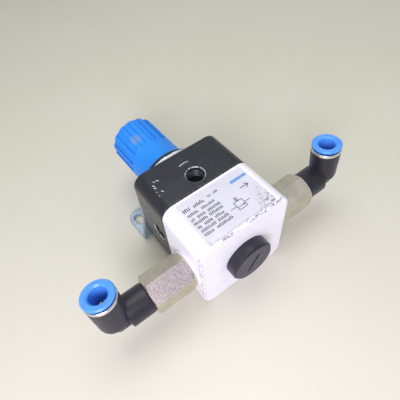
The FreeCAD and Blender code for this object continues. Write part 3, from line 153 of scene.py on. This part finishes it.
class Graph:
    """A material's nodes. A value is a number, a colour or another node's output. Lengths are in metres."""

    def __init__(self, name):
        self.material = bpy.data.materials.new(name)
        self.material.use_nodes = True
        self.tree = self.material.node_tree
        self.shader = self.tree.nodes["Principled BSDF"]
        self.place = self.node("ShaderNodeTexCoord").outputs["Object"]

    def put(self, socket, value):
        if isinstance(value, bpy.types.NodeSocket):
            self.tree.links.new(value, socket)
        elif isinstance(value, (int, float)):
            socket.default_value = value
        else:
            values = tuple(value)
            socket.default_value = values + (1,) * (len(socket.default_value) - len(values))

    def node(self, kind, inputs=None, **settings):
        item = self.tree.nodes.new(kind)
        for key, setting in settings.items():
            setattr(item, key, setting)
        for key, value in (inputs or {}).items():
            self.put(item.inputs[key], value)
        return item

    def math(self, operation, one, two=0.0):
        return self.node("ShaderNodeMath", {0: one, 1: two}, operation=operation).outputs[0]

    def vector(self, operation, one, two, output=0):
        return self.node("ShaderNodeVectorMath", {0: one, 1: two}, operation=operation).outputs[output]

    def between(self, value, low, high, out_low=0.0, out_high=1.0):
        """out_low where value is at low, out_high where it is at high, and held there beyond."""
        inputs = {0: value, 1: low, 2: high, 3: out_low, 4: out_high}
        return self.node("ShaderNodeMapRange", inputs).outputs[0]

    def all_of(self, *masks):
        """The product of all the masks."""
        total = 1.0
        for mask in masks:
            total = self.math("MULTIPLY", total, mask)
        return total

    def mix(self, amount, one, two):
        item = self.node("ShaderNodeMix", data_type="RGBA")
        self.put(item.inputs["Factor"], amount)
        self.put(item.inputs[6], one)
        self.put(item.inputs[7], two)
        return item.outputs[2]

    def axes(self):
        split = self.node("ShaderNodeSeparateXYZ", {0: self.place})
        return split.outputs[0], split.outputs[1], split.outputs[2]

    def noise(self, size, detail=3.0, rough=0.55, stretch=(1, 1, 1)):
        """Cloudy noise whose features are about size across."""
        place = self.vector("MULTIPLY", self.place, stretch)
        inputs = {"Vector": place, "Scale": 1 / size, "Detail": detail, "Roughness": rough}
        return self.node("ShaderNodeTexNoise", inputs).outputs["Fac"]

    def spots(self, size, low, high, detail=3.0, rough=0.55, least=0.0, most=1.0):
        """Ragged spots: least where the noise is under low, most where it is over high."""
        return self.between(self.noise(size, detail, rough), low, high, least, most)

    def clouds(self, size, detail=4.0):
        """Broad, soft variation from 0 to 1."""
        return self.spots(size, 0.3, 0.7, detail)

    def uneven(self, size, low, high, detail=4.0):
        """A roughness that wanders between low and high."""
        return self.spots(size, 0.3, 0.7, detail, least=low, most=high)

    def edges(self, radius):
        """1 on sharp edges, 0 on flats."""
        soft = self.node("ShaderNodeBevel", {"Radius": radius}, samples=BEVEL_SAMPLES).outputs["Normal"]
        true = self.node("ShaderNodeNewGeometry").outputs["Normal"]
        bend = self.math("SUBTRACT", 1.0, self.vector("DOT_PRODUCT", soft, true, "Value"))
        return self.between(bend, 0.02, 0.25)

    def edge_wear(self, base, colour, radius, spots, amount):
        """The base with another colour here and there along its sharp edges."""
        return self.mix(self.all_of(self.edges(radius), spots, amount), base, colour)

    def shaded_recesses(self, reach):
        """1 in narrow recesses and inside corners, where shade falls, 0 in the open."""
        shade = self.node("ShaderNodeAmbientOcclusion", {"Distance": reach}, samples=SHADE_SAMPLES)
        return self.between(shade.outputs["AO"], 0.85, 0.35)

    def ring(self, across, along, inner, outer, softness):
        """1 in a ring between two radii, about the line on which across and along are both 0."""
        squares = self.math("ADD", self.math("MULTIPLY", across, across),
                            self.math("MULTIPLY", along, along))
        radius = self.math("SQRT", squares)
        return self.all_of(self.between(radius, inner - softness, inner),
                         self.between(radius, outer + softness, outer))

    def stroke(self, start, end, width):
        """1 along a straight scratch from start to end."""
        run = end - start
        off = self.vector("SUBTRACT", self.place, start)
        along = self.vector("DOT_PRODUCT", off, run / run.length_squared, "Value")
        along = self.node("ShaderNodeClamp", {"Value": along}).outputs[0]
        spot = self.node("ShaderNodeVectorMath", {0: run, "Scale": along}, operation="SCALE").outputs[0]
        gap = self.vector("DISTANCE", off, spot, "Value")
        return self.between(gap, width / 2, width / 4)

    def patch(self, centre, reach, softness, grain):
        """1 in a ragged spot about centre."""
        gap = self.vector("DISTANCE", self.place, centre, "Value")
        raggedness = reach * 1.6
        stray = self.math("MULTIPLY", self.math("SUBTRACT", self.noise(grain), 0.5), raggedness)
        return self.between(self.math("ADD", gap, stray), reach + softness, reach)


BUMP_STRENGTH = 0.35
FINE_GRAIN = 0.4 * MM
FINE_RELIEF = 0.02 * MM


def finish(graph, colour, roughness, metallic=0.0, bump_size=FINE_GRAIN, bump=FINE_RELIEF, edge=0.0):
    """Joins colour, roughness and a fine bump to the shader; edge rounds the shading of sharp edges."""
    grain = graph.noise(bump_size, 4.0)
    inputs = {"Height": grain, "Strength": BUMP_STRENGTH, "Distance": bump}
    if edge:
        bevel = graph.node("ShaderNodeBevel", {"Radius": edge}, samples=BEVEL_SAMPLES)
        inputs["Normal"] = bevel.outputs["Normal"]
    relief = graph.node("ShaderNodeBump", inputs)
    graph.put(graph.shader.inputs["Base Color"], colour)
    graph.put(graph.shader.inputs["Roughness"], roughness)
    graph.put(graph.shader.inputs["Metallic"], metallic)
    graph.put(graph.shader.inputs["Normal"], relief.outputs["Normal"])
    return graph.material


def worn(name, colour, shade, worn_colour, rough, metallic=0.0, wear=0.6, size=9 * MM, spread=0.08,
         stretch=(1, 1, 1)):
    """The common finish: cloudy colour, uneven roughness, fine bump, and wear along the edges."""
    graph = Graph(name)
    base = graph.mix(graph.clouds(size, 5.0), colour, shade)
    streaks = graph.between(graph.noise(0.9 * MM, 3.0, stretch=stretch), 0.45, 0.8, 0.0, 0.35)
    base = graph.mix(streaks, base, shade)
    base = graph.edge_wear(base, worn_colour, 0.35 * MM, graph.spots(2.2 * MM, 0.42, 0.58), wear)
    roughness = graph.uneven(3 * MM, rough - spread, rough + spread)
    return finish(graph, base, roughness, metallic, edge=0.2 * MM)


# ---------------------------------------------------------------- materials

DIRT = (0.10, 0.095, 0.10)


def table_material():
    graph = Graph("table")
    pale, paler, fleck = (0.61, 0.595, 0.49), (0.63, 0.615, 0.515), (0.45, 0.42, 0.37)
    base = graph.mix(graph.spots(120 * MM, 0.35, 0.65, 4.0), pale, paler)
    base = graph.mix(graph.spots(0.6 * MM, 0.62, 0.75, 2.0, most=0.12), base, fleck)
    rough = graph.uneven(6 * MM, 0.42, 0.55, 3.0)
    return finish(graph, base, rough, bump_size=0.5 * MM, bump=0.01 * MM)


def white_paint():
    graph = Graph("white_paint")
    white, shade = (0.86, 0.845, 0.915), (0.79, 0.775, 0.865)
    edge_dirt, smudge, corner_dirt = (0.09, 0.085, 0.09), (0.45, 0.43, 0.44), (0.20, 0.19, 0.20)
    base = graph.mix(graph.clouds(14 * MM), white, shade)
    base = graph.edge_wear(base, edge_dirt, 0.5 * MM, graph.spots(1.6 * MM, 0.52, 0.62, 4.0), 0.75)
    base = graph.mix(graph.spots(2.4 * MM, 0.64, 0.74, 6.0, 0.7, most=0.5), base, smudge)
    east, north, up = graph.axes()
    chipped = graph.spots(1.1 * MM, 0.46, 0.56, 5.0, 0.7)
    patchy = graph.spots(6 * MM, 0.40, 0.52, 2.0)
    front_edge = graph.all_of(graph.between(north, (END + 1.6) * MM, (END + 1.0) * MM),
                            graph.between(up, (FRONT - 1.0) * MM, (FRONT - 0.4) * MM))
    base = graph.mix(graph.all_of(front_edge, chipped, patchy, 0.85), base, DIRT)
    off_middle = graph.math("ABSOLUTE", east)
    side_edges = graph.all_of(graph.between(off_middle, (SIDE - 1.6) * MM, (SIDE - 0.6) * MM),
                            graph.between(north, (END + 2.4) * MM, (END + 1.0) * MM))
    base = graph.mix(graph.all_of(side_edges, chipped, 0.6), base, corner_dirt)
    return finish(graph, base, graph.uneven(3 * MM, 0.30, 0.46), bump_size=0.7 * MM, edge=0.3 * MM)


# Scratches on the bonnet's front face: from one point (x, y) to another, and the width.
BONNET_SCRATCHES = (
    ((-2.9, 34.4), (0.1, 34.8), 0.5), ((0.1, 34.8), (2.1, 34.4), 0.4),
    ((-16.4, 34.0), (-15.6, 33.4), 0.55), ((-18.0, 34.3), (-17.4, 33.8), 0.5),
    ((-19.4, 32.5), (-18.8, 31.6), 0.55), ((-19.6, 30.9), (-18.9, 30.2), 0.6),
    ((-20.2, 29.0), (-19.9, 27.8), 0.5), ((-20.4, 26.6), (-19.9, 25.4), 0.55),
    ((-17.8, 27.2), (-17.2, 26.6), 0.55),
)
# The bright chamfer at a gauge port's mouth: inner and outer radius, softness.
GAUGE_RIM = (4.62 * MM, 4.95 * MM, 0.12 * MM)


def black_paint():
    graph = Graph("black_paint")
    black, shade, speck = (0.013, 0.018, 0.023), (0.009, 0.012, 0.016), (0.09, 0.09, 0.095)
    rubbed, scratch, chamfer = (0.42, 0.42, 0.45), (0.75, 0.75, 0.80), (0.50, 0.49, 0.56)
    base = graph.mix(graph.clouds(10 * MM), black, shade)
    base = graph.mix(graph.spots(0.5 * MM, 0.66, 0.76, 2.0, most=0.5), base, speck)
    base = graph.edge_wear(base, rubbed, 0.4 * MM, graph.spots(2.0 * MM, 0.40, 0.55), 0.75)
    marks = 0.0
    for start, end, width in BONNET_SCRATCHES:
        stroke = graph.stroke(Vector((*start, FRONT)) * MM, Vector((*end, FRONT)) * MM, width * MM)
        marks = graph.math("MAXIMUM", marks, stroke)
    base = graph.mix(graph.all_of(marks, 0.85), base, scratch)
    east, north, up = graph.axes()
    along = graph.math("SUBTRACT", north, GAUGE_ALONG * MM)
    height = graph.math("SUBTRACT", up, AXIS_HEIGHT * MM)
    front_rim = graph.all_of(graph.ring(east, along, *GAUGE_RIM),
                           graph.between(up, (FRONT - 0.6) * MM, (FRONT - 0.5) * MM))
    side_rim = graph.all_of(graph.ring(height, along, *GAUGE_RIM),
                          graph.between(east, (0.6 - SIDE) * MM, (0.5 - SIDE) * MM))
    rims = graph.math("MAXIMUM", front_rim, side_rim)
    ragged = graph.spots(1.5 * MM, 0.44, 0.52, 4.0, 0.6)
    base = graph.mix(graph.all_of(rims, ragged, 0.75), base, chamfer)
    rough = graph.uneven(3 * MM, 0.24, 0.36)
    return finish(graph, base, rough, bump_size=0.35 * MM, bump=0.03 * MM, edge=0.3 * MM)


def label_film():
    graph = Graph("label_film")
    film, shade = (0.62, 0.62, 0.68), (0.56, 0.56, 0.62)
    base = graph.mix(graph.clouds(11 * MM), film, shade)
    east, north = graph.axes()[:2]
    end_edge = graph.all_of(graph.between(north, (LABEL_END + 0.9) * MM, LABEL_END * MM),
                          graph.spots(1.3 * MM, 0.44, 0.60, 5.0, 0.65))
    to_outlet = graph.math("SUBTRACT", east, graph.math("MULTIPLY", north, 0.9))
    outlet_corner = graph.all_of(graph.between(to_outlet, 13 * MM, 21 * MM),
                               graph.spots(1.8 * MM, 0.48, 0.60, 5.0, 0.7))
    to_inlet = graph.math("ADD", east, north)
    inlet_corner = graph.all_of(graph.between(to_inlet, -24.5 * MM, -27.0 * MM),
                              graph.spots(1.1 * MM, 0.45, 0.6, 4.0))
    soiled = graph.math("MAXIMUM", end_edge, graph.math("MAXIMUM", outlet_corner, inlet_corner))
    base = graph.mix(graph.all_of(soiled, 0.8), base, DIRT)
    return finish(graph, base, graph.uneven(2.5 * MM, 0.28, 0.44), bump_size=1.2 * MM)


# Two marks on the knob, seen from the front.
KNOB_RUBBED = Vector((-5.0, 77.6, 38.3)) * MM
KNOB_SCUFFED = Vector((-8.2, 69.2, 36.9)) * MM


def blue_plastic():
    graph = Graph("blue_plastic")
    blue, lighter, painted_shade_blue = (0.005, 0.225, 0.78), (0.007, 0.25, 0.82), (0.002, 0.05, 0.26)
    grey, scuff = (0.20, 0.30, 0.38), (0.62, 0.72, 0.86)
    fleck, edge_blue = (0.16, 0.40, 0.90), (0.10, 0.38, 0.92)
    base = graph.mix(graph.clouds(9 * MM), blue, lighter)
    # Painted shade: the knob's flutes and inside corners are darkened to a deep blue where shade falls.
    base = graph.mix(graph.all_of(graph.shaded_recesses(0.9 * MM), 0.7), base, painted_shade_blue)
    rubbed = graph.patch(KNOB_RUBBED, 2.4 * MM, 2.2 * MM, 1.1 * MM)
    base = graph.mix(graph.all_of(rubbed, 0.5), base, grey)
    scuffed = graph.patch(KNOB_SCUFFED, 2.2 * MM, 2.0 * MM, 1.2 * MM)
    nicks = graph.spots(0.5 * MM, 0.60, 0.66, 4.0, 0.7)
    base = graph.mix(graph.all_of(scuffed, nicks, 0.8), base, scuff)
    base = graph.mix(graph.spots(0.55 * MM, 0.68, 0.78, most=0.6), base, fleck)
    base = graph.edge_wear(base, edge_blue, 0.3 * MM, graph.spots(1.8 * MM, 0.4, 0.6), 0.4)
    return finish(graph, base, graph.uneven(2 * MM, 0.34, 0.50), bump_size=0.5 * MM, edge=0.2 * MM)


def black_plastic():
    graph = Graph("black_plastic")
    black, shade, edge_grey = (0.006, 0.006, 0.009), (0.009, 0.009, 0.016), (0.16, 0.16, 0.18)
    base = graph.mix(graph.clouds(6 * MM), black, shade)
    base = graph.edge_wear(base, edge_grey, 0.3 * MM, graph.spots(1.5 * MM, 0.42, 0.58), 0.4)
    graph.put(graph.shader.inputs["Sheen Weight"], 0.12)
    graph.put(graph.shader.inputs["Sheen Tint"], (0.55, 0.55, 1.0))
    return finish(graph, base, graph.uneven(2.4 * MM, 0.34, 0.46), bump_size=0.5 * MM, edge=0.2 * MM)


def nickel_brass():
    """Nickel plate, stained and pitted on the inlet stud's upper face towards the plug."""
    graph = Graph("nickel_brass")
    plate, shade, edge_bright = (0.64, 0.625, 0.49), (0.55, 0.515, 0.42), (0.80, 0.79, 0.72)
    stain, pit = (0.44, 0.37, 0.41), (0.26, 0.22, 0.24)
    base = graph.mix(graph.spots(7 * MM, 0.36, 0.64, 5.0, 0.6), plate, shade)
    east, north, up = graph.axes()
    weathered = graph.all_of(graph.between(east, -20 * MM, -24 * MM),
                           graph.between(north, 0.3 * MM, -0.3 * MM),
                           graph.between(up, 29.6 * MM, 30.1 * MM))
    stained = graph.spots(1.5 * MM, 0.40, 0.62, 5.0, 0.7, least=0.35, most=0.9)
    base = graph.mix(graph.all_of(stained, weathered), base, stain)
    pitted = graph.all_of(graph.spots(0.5 * MM, 0.44, 0.60, 2.0, most=0.7),
                        graph.between(weathered, 0.0, 1.0, 0.25, 1.0))
    base = graph.mix(pitted, base, pit)
    base = graph.edge_wear(base, edge_bright, 0.3 * MM, graph.spots(1.6 * MM, 0.35, 0.55), 0.6)
    rough = graph.uneven(1.2 * MM, 0.36, 0.58, 5.0)
    return finish(graph, base, rough, 0.85, 0.25 * MM, 0.05 * MM, 0.25 * MM)


STEEL, DULL_STEEL = (0.62, 0.62, 0.64), (0.45, 0.45, 0.47)
TURNED = (1, 8, 1)                        # fine marks run round the knob's axis


def paints():
    """One material for each slot of the record, and the label's inks."""
    own = {make.__name__: make() for make in
           (white_paint, black_paint, label_film, black_plastic, blue_plastic, nickel_brass)}
    common = {
        "ring_blue": dict(colour=(0.06, 0.25, 0.80), shade=(0.09, 0.34, 0.88),
                          worn_colour=(0.35, 0.62, 0.95), rough=0.34, wear=0.5, size=5 * MM),
        "zinc_steel": dict(colour=(0.42, 0.52, 0.60), shade=(0.32, 0.41, 0.48),
                           worn_colour=(0.80, 0.85, 0.88), rough=0.42, metallic=0.75, wear=0.9,
                           size=7 * MM, spread=0.12),
        "bright_nut": dict(colour=(0.94, 0.94, 0.95), shade=(0.84, 0.84, 0.86),
                           worn_colour=(0.97, 0.97, 0.98), rough=0.36, metallic=0.55, stretch=(1, 6, 1)),
        "bright_sleeve": dict(colour=(0.84, 0.82, 0.80), shade=(0.70, 0.67, 0.66),
                              worn_colour=(0.95, 0.95, 0.95), rough=0.26, metallic=1.0),
        "seal_ring": dict(colour=(0.78, 0.78, 0.78), shade=(0.70, 0.70, 0.70), worn_colour=(0.6, 0.6, 0.58),
                          rough=0.5),
        "rubber": dict(colour=(0.02, 0.02, 0.022), shade=(0.03, 0.03, 0.03), worn_colour=(0.08, 0.08, 0.08),
                       rough=0.7),
        "spring_steel": dict(colour=STEEL, shade=DULL_STEEL, worn_colour=(0.8, 0.8, 0.82), rough=0.35,
                             metallic=1.0),
        "machined_steel": dict(colour=STEEL, shade=DULL_STEEL, worn_colour=(0.85, 0.85, 0.86), rough=0.32,
                               metallic=1.0, stretch=TURNED),
        "brass": dict(colour=(0.78, 0.60, 0.28), shade=(0.62, 0.45, 0.20), worn_colour=(0.92, 0.78, 0.45),
                      rough=0.33, metallic=1.0, stretch=TURNED),
        "plate_aluminium": dict(colour=(0.80, 0.81, 0.82), shade=(0.68, 0.69, 0.70),
                                worn_colour=(0.93, 0.93, 0.94), rough=0.36, metallic=1.0, stretch=TURNED),
        "ink_black": dict(colour=(0.012, 0.012, 0.015), shade=(0.04, 0.038, 0.045),
                          worn_colour=(0.3, 0.3, 0.32), rough=0.4),
        "ink_blue": dict(colour=(0.08, 0.24, 0.56), shade=(0.16, 0.33, 0.62), worn_colour=(0.3, 0.35, 0.6),
                         rough=0.4),
    }
    return own | {name: worn(name, **looks) for name, looks in common.items()}


def paint(materials):
    for row in frame["record"]["subparts"]:
        slots = frame["nodes"][row["node"]].data.materials
        slots.clear()
        slots.append(materials[row["material_slot"]])


# ---------------------------------------------------------------- pieces on the frame

def piece(name, points, faces, material):
    """A mesh of points in millimetres, which stays with the housing."""
    mesh = bpy.data.meshes.new(name)
    mesh.from_pydata([tuple(Vector(point) * MM) for point in points], [], faces)
    for polygon in mesh.polygons:
        polygon.use_smooth = False
    mesh.materials.append(material)
    item = bpy.data.objects.new(name, mesh)
    scene.collection.objects.link(item)
    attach(item, "root")


INK_THICKNESS = 0.012


class Ink:
    """Flat printed shapes on the label, gathered into one mesh."""

    def __init__(self):
        self.points, self.faces = [], []

    def add(self, outline):
        """A printed shape: its outline, anticlockwise, raised by the ink's thickness."""
        start, count = len(self.points), len(outline)
        for height in (LABEL_TOP, LABEL_TOP + INK_THICKNESS):
            self.points += [(x, y, height) for x, y in outline]
        self.faces.append([start + count + index for index in range(count)])
        for index in range(count):
            following = (index + 1) % count
            self.faces.append([start + index, start + following, start + count + following,
                               start + count + index])

    def bar(self, left, low, right, high):
        self.add([(left, low), (right, low), (right, high), (left, high)])

    def line(self, start, end, width):
        start, end = Vector(start), Vector(end)
        run = (end - start).normalized() * width / 2
        side = Vector((-run.y, run.x))
        self.add([start - run - side, end + run - side, end + run + side, start - run + side])

    def word(self, left, low, length, height, chance):
        """Unreadable type: a row of short upright strokes, most with a bar across."""
        pitch = height * 0.48
        for index in range(int(length / pitch)):
            x = left + index * pitch
            top = low + height * chance.choice((0.72, 1.0, 1.0))
            self.bar(x, low, x + pitch * 0.5, top)
            across = low + height * chance.choice((0.0, 0.4, 0.8))
            if chance.random() < 0.75:
                self.bar(x, across, x + pitch * 0.8, across + height * 0.17)


# Rows of type on the label: the start (x, y), the height, and the words' lengths.
TYPE_ROWS = (
    (-17.2, 9.9, 2.0, (4.4, 6.6)),
    (-3.7, 10.7, 1.3, (2.2, 2.6)),
    (-17.0, 7.0, 1.5, (6.4, 7.6)),
    (-17.2, 4.4, 1.5, (2.6, 4.4, 7.2)),
    (-17.2, 2.1, 1.5, (7.4, 7.2)),
    (-17.1, -0.3, 1.5, (2.8, 4.6, 5.4)),
    (-16.9, -2.6, 1.5, (8.0, 6.0)),
    (-16.9, -4.9, 1.5, (5.6, 9.2)),
)
WORD_GAP = 0.9


def label_type(materials):
    chance = random.Random(5)
    ink = Ink()
    for left, low, height, words in TYPE_ROWS:
        x = left
        for length in words:
            ink.word(x, low, length, height, chance)
            x += length + WORD_GAP
    piece("label_type", ink.points, ink.faces, materials["ink_black"])


ARROW_LINE, SIGN_LINE, SPRING_LINE = 0.42, 0.3, 0.26


def label_signs(materials):
    """The flow arrow, and the general drawing symbol for a regulator."""
    ink = Ink()
    tail, tip, level = 10.4, 14.8, 5.5
    ink.line((tail, level), (tip - 0.8, level), ARROW_LINE)
    for barb in (1.2, -1.2):
        ink.line((tip - 1.4, level + barb), (tip, level), ARROW_LINE)

    left, low, right, high = 2.6, -3.6, 7.0, 0.8
    middle, across = (low + high) / 2, (left + right) / 2
    corners = [(left, low), (right, low), (right, high), (left, high)]
    for start, end in zip(corners, corners[1:] + corners[:1]):
        ink.line(start, end, SIGN_LINE)
    ink.line((left - 3.0, middle), (left, middle), SIGN_LINE)
    ink.line((right, middle), (right + 2.8, middle), SIGN_LINE)

    flow, head = middle - 0.7, 0.6
    ink.line((left, flow), (right - 0.8, flow), SIGN_LINE)
    ink.add([(right - 1.2, flow - head), (right - 0.1, flow), (right - 1.2, flow + head)])

    zigzag = [(across + 0.8 * (-1) ** step, high + 0.45 * step) for step in range(6)]
    for start, end in zip(zigzag, zigzag[1:]):
        ink.line(start, end, SPRING_LINE)
    piece("label_signs", ink.points, ink.faces, materials["ink_black"])


def label_band(materials):
    """A plain blue band where a label has room for a name."""
    ink = Ink()
    ink.bar(left=8.8, low=9.8, right=17.9, high=11.4)
    piece("label_band", ink.points, ink.faces, materials["ink_blue"])


THREAD_STEPS = 64                         # steps in one turn
THREAD_FADE = 24                          # steps over which a thread rises to its full height
THREAD_FLANK = 0.42                       # half the ridge's foot, as a share of the pitch
THREAD_FLAT = 0.15                        # half the ridge's flat top, as a share of half its foot


def thread(name, centre, axis, root, crest, start, length, pitch, materials):
    """A helical ridge: root and crest are its radii, and start is how far along the axis it begins."""
    steps = int(length / pitch * THREAD_STEPS)
    axis = Vector(axis)
    across = axis.orthogonal().normalized()
    up = axis.cross(across)
    foot = axis * pitch * THREAD_FLANK
    top = foot * THREAD_FLAT
    points, faces = [], []
    for step in range(steps + 1):
        angle = 2 * math.pi * step / THREAD_STEPS
        rise = min(1.0, step / THREAD_FADE, (steps - step) / THREAD_FADE)
        out = across * math.cos(angle) + up * math.sin(angle)
        middle = Vector(centre) + axis * (start + pitch * step / THREAD_STEPS)
        low, high = middle + out * root, middle + out * (root + (crest - root) * rise)
        points += [low - foot, high - top, high + top, low + foot]
    for step in range(steps):
        first = 4 * step
        for side in range(first, first + 3):
            corners = [side, side + 1, side + 5, side + 4]
            faces.append(corners if crest > root else corners[::-1])
    piece(name, points, faces, materials["black_paint"])


# Radii of a thread's root and crest, then its pitch.
GAUGE_THREAD = dict(root=4.48, crest=4.10, pitch=0.907)
NECK_THREAD = dict(root=17.98, crest=18.22, pitch=1.5)
THREAD_START = 0.8
GAUGE_THREAD_LENGTH = 5.4
NECK_THREAD_SHORT = 2.2                   # how much shorter the neck's thread is than its open stretch


def threads(materials):
    ports = (("gauge_thread_front", (0, GAUGE_ALONG, 0), (0, 0, 1), FRONT),
             ("gauge_thread_side", (0, GAUGE_ALONG, AXIS_HEIGHT), (-1, 0, 0), SIDE))
    for name, centre, axis, face in ports:
        thread(name, centre, axis, start=face - GAUGE_DEPTH + THREAD_START, length=GAUGE_THREAD_LENGTH,
               materials=materials, **GAUGE_THREAD)
    thread("neck_thread", (0, 0, AXIS_HEIGHT), (0, 1, 0), start=NUT_TOP + THREAD_START,
           length=NECK_TOP - NUT_TOP - NECK_THREAD_SHORT, materials=materials, **NECK_THREAD)


camera()
floor()
lights()
made = paints()
paint(made)
label_type(made)
label_signs(made)
label_band(made)
threads(made)
